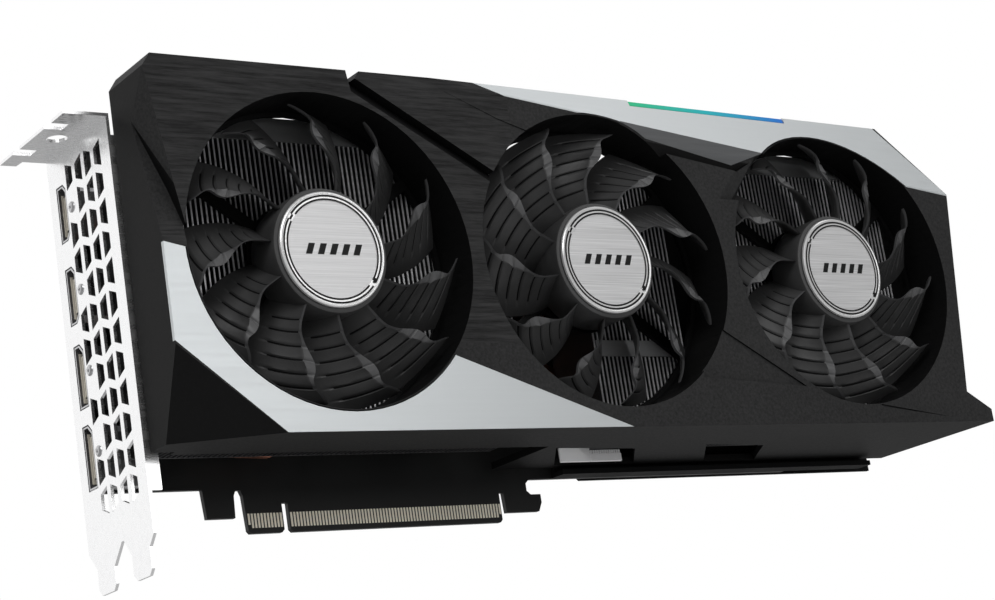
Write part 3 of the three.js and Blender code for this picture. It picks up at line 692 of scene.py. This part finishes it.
# ---- Edge connector contacts: 82 pads at 1 mm on both faces of the board ----
KEY_X = 57.7
KEY_TO_CONTACT = 1.65
CONTACTS = 82
BEFORE_KEY = 11
CONTACT_HALF = 0.31
CONTACT_LOW_Z = 1.46
END_CONTACT_LOW_Z = 2.4
CONTACT_TOP_Z = 5.46
CONTACT_FACES = ((-0.05, 0.0), (1.57, 1.62))
contacts = bmesh.new()
for face_y in CONTACT_FACES:
    for i in range(CONTACTS):
        if i < BEFORE_KEY:
            x = KEY_X - KEY_TO_CONTACT - (BEFORE_KEY - 1 - i)
        else:
            x = KEY_X + KEY_TO_CONTACT + (i - BEFORE_KEY)
        low = END_CONTACT_LOW_Z if i in (0, CONTACTS - 1) else CONTACT_LOW_Z
        block(contacts, (x - CONTACT_HALF, x + CONTACT_HALF), face_y, (low, CONTACT_TOP_Z))
place("edge_contacts", contacts, [GOLD], "brass")


# ---- Port details: in each port a black tongue with gold pins and gold lines ----
# Port centres from the top down, with half the length of the port's tongue.
PORTS = ((87.8, 5.0), (65.0, 5.0), (43.0, 5.9), (21.3, 5.9))
PINS = 9
PIN_MARGIN = 0.9
PIN_HALF = 0.25
LINE_Y = (-3.3, -2.6)
LINE_WIDTH = 0.22
LINE_MARGIN = 0.4
SHELL_MARGIN = 0.8
tongues = bmesh.new()
pins = bmesh.new()
for centre, reach in PORTS:
    block(tongues, (0.9, 11.5), (-3.35, -2.3), (centre - reach, centre + reach))
    for k in range(PINS):
        z = centre - reach + PIN_MARGIN + k * 2 * (reach - PIN_MARGIN) / (PINS - 1)
        block(pins, (0.85, 9), (-3.5, -3.36), (z - PIN_HALF, z + PIN_HALF))
    line_z = (centre - reach + LINE_MARGIN, centre + reach - LINE_MARGIN)
    for y in LINE_Y:
        block(pins, (0.78, 0.9), (y, y + LINE_WIDTH), line_z)
    shell_z = (centre - reach - SHELL_MARGIN, centre + reach + SHELL_MARGIN)
    block(pins, (0.9, 2.6), (-0.78, -0.71), shell_z)
place("port_tongues", tongues, [CHIP], "chip")
place("port_pins", pins, [GOLD], "brass")

# Low screw heads with a round recess, facing -X, as (radius, height) points.
SCREW_R = 1.5
SCREW_HEIGHT = 0.5
SCREW_Y = -8.1
SCREWS_Z = (88, 65.3, 43.3, 21.8)
SCREW_SIDES = 24
SCREW_PROFILE = (
    (SCREW_R, 0),
    (SCREW_R, 0.35 * SCREW_HEIGHT),
    (0.8 * SCREW_R, 0.8 * SCREW_HEIGHT),
    (0.45 * SCREW_R, SCREW_HEIGHT),
    (0.3 * SCREW_R, SCREW_HEIGHT),
    (0.25 * SCREW_R, 0.3 * SCREW_HEIGHT),
    (AXIS_R, 0.3 * SCREW_HEIGHT),
)
screws = bmesh.new()
for z in SCREWS_Z:
    rows = [
        [(-height, SCREW_Y + u, z + v) for u, v in circle(radius, SCREW_SIDES)]
        for radius, height in SCREW_PROFILE
    ]
    grid(screws, rows, True)
place("port_screws", screws, [STEEL], "bright_steel", smooth=35)


# ---- Stage ----
def floor_paint():
    m = Nodes("floor_pale")
    m.set(Roughness=0.9)
    grey = (0.6, 0.6, 0.6)
    m.color(m.ramp(m.noise(3, 2), [(0.3, shade(grey, 0.99)), (0.7, grey)]))
    return m.material


FLOOR_HALF = 6000
FLOOR_Z = (-620, -600)
floor_mesh = bmesh.new()
block(floor_mesh, (-FLOOR_HALF, FLOOR_HALF), (-FLOOR_HALF, FLOOR_HALF), FLOOR_Z)
bmesh.ops.scale(floor_mesh, vec=(MM, MM, MM), verts=floor_mesh.verts)
floor_data = bpy.data.meshes.new("floor")
floor_mesh.to_mesh(floor_data)
floor_mesh.free()
floor_data.materials.append(floor_paint())
floor = bpy.data.objects.new("floor", floor_data)
bpy.context.scene.collection.objects.link(floor)

# ---- World: white behind the card, soft grey towards its front ----
BACKDROP_DIRECTION = (0.12, 0.96, 0.25)
world = bpy.data.worlds.new("studio")
bpy.context.scene.world = world
world.use_nodes = True
background = world.node_tree.nodes["Background"]
coordinates = world.node_tree.nodes.new("ShaderNodeTexCoord")
backdrop = world.node_tree.nodes.new("ShaderNodeVectorMath")
backdrop.operation = "DOT_PRODUCT"
backdrop.inputs[1].default_value = BACKDROP_DIRECTION
tone = world.node_tree.nodes.new("ShaderNodeValToRGB")
tone.color_ramp.interpolation = "EASE"
near, far = tone.color_ramp.elements
near.position, near.color = 0.2, (0.34, 0.34, 0.34, 1)
far.position, far.color = 0.72, (1, 1, 1, 1)
background.inputs[1].default_value = 1.0
links = world.node_tree.links
links.new(coordinates.outputs["Generated"], backdrop.inputs[0])
links.new(backdrop.outputs["Value"], tone.inputs[0])
links.new(tone.outputs[0], background.inputs[0])

# ---- Lights: name, place, size and watts; all look at the card's middle ----
CARD_MIDDLE = Vector((0.14, -0.03, 0.06))
LIGHTS = (
    ("key", (-0.5, -0.9, 0.9), (0.7, 0.7), 6),
    ("fill", (0.5, -1.1, 0.32), (0.45, 0.5), 1.7),
    ("top", (0.80, -0.55, 0.86), (0.5, 0.5), 1.3),
    ("under", (0.1, -0.5, -0.5), (0.8, 0.5), 0.3),
)
for name, position, size, power in LIGHTS:
    lamp = bpy.data.lights.new(name, "AREA")
    lamp.shape = "RECTANGLE"
    lamp.size, lamp.size_y = size
    lamp.energy = power
    light = bpy.data.objects.new(name, lamp)
    light.location = position
    light.rotation_mode = "QUATERNION"
    light.rotation_quaternion = (CARD_MIDDLE - Vector(position)).to_track_quat("-Z", "Y")
    bpy.context.scene.collection.objects.link(light)

# ---- Camera ----
CAMERA_PLACE = Vector((-0.2614, -0.5367, -0.0985))
CAMERA_RIGHT = Vector((0.8142, -0.5612, -0.1489))
CAMERA_FORWARD = Vector((0.5804, 0.7792, 0.2367))
LENS = 83.17447
SENSOR_WIDTH = 36
SHIFT = (0.00372462, 0.00962312)
camera_data = bpy.data.cameras.new("camera")
camera_data.sensor_width = SENSOR_WIDTH
camera_data.lens = LENS
camera_data.shift_x, camera_data.shift_y = SHIFT
camera_data.clip_start = 0.05
camera = bpy.data.objects.new("camera", camera_data)
right = CAMERA_RIGHT.normalized()
forward = (CAMERA_FORWARD - right * CAMERA_FORWARD.dot(right)).normalized()
up = right.cross(forward)
turn = Matrix((right, up, -forward)).transposed().to_4x4()
camera.matrix_world = Matrix.Translation(CAMERA_PLACE) @ turn
bpy.context.scene.collection.objects.link(camera)
bpy.context.scene.camera = camera
bpy.context.scene.view_settings.view_transform = "Standard"

bpy.context.view_layer.update()
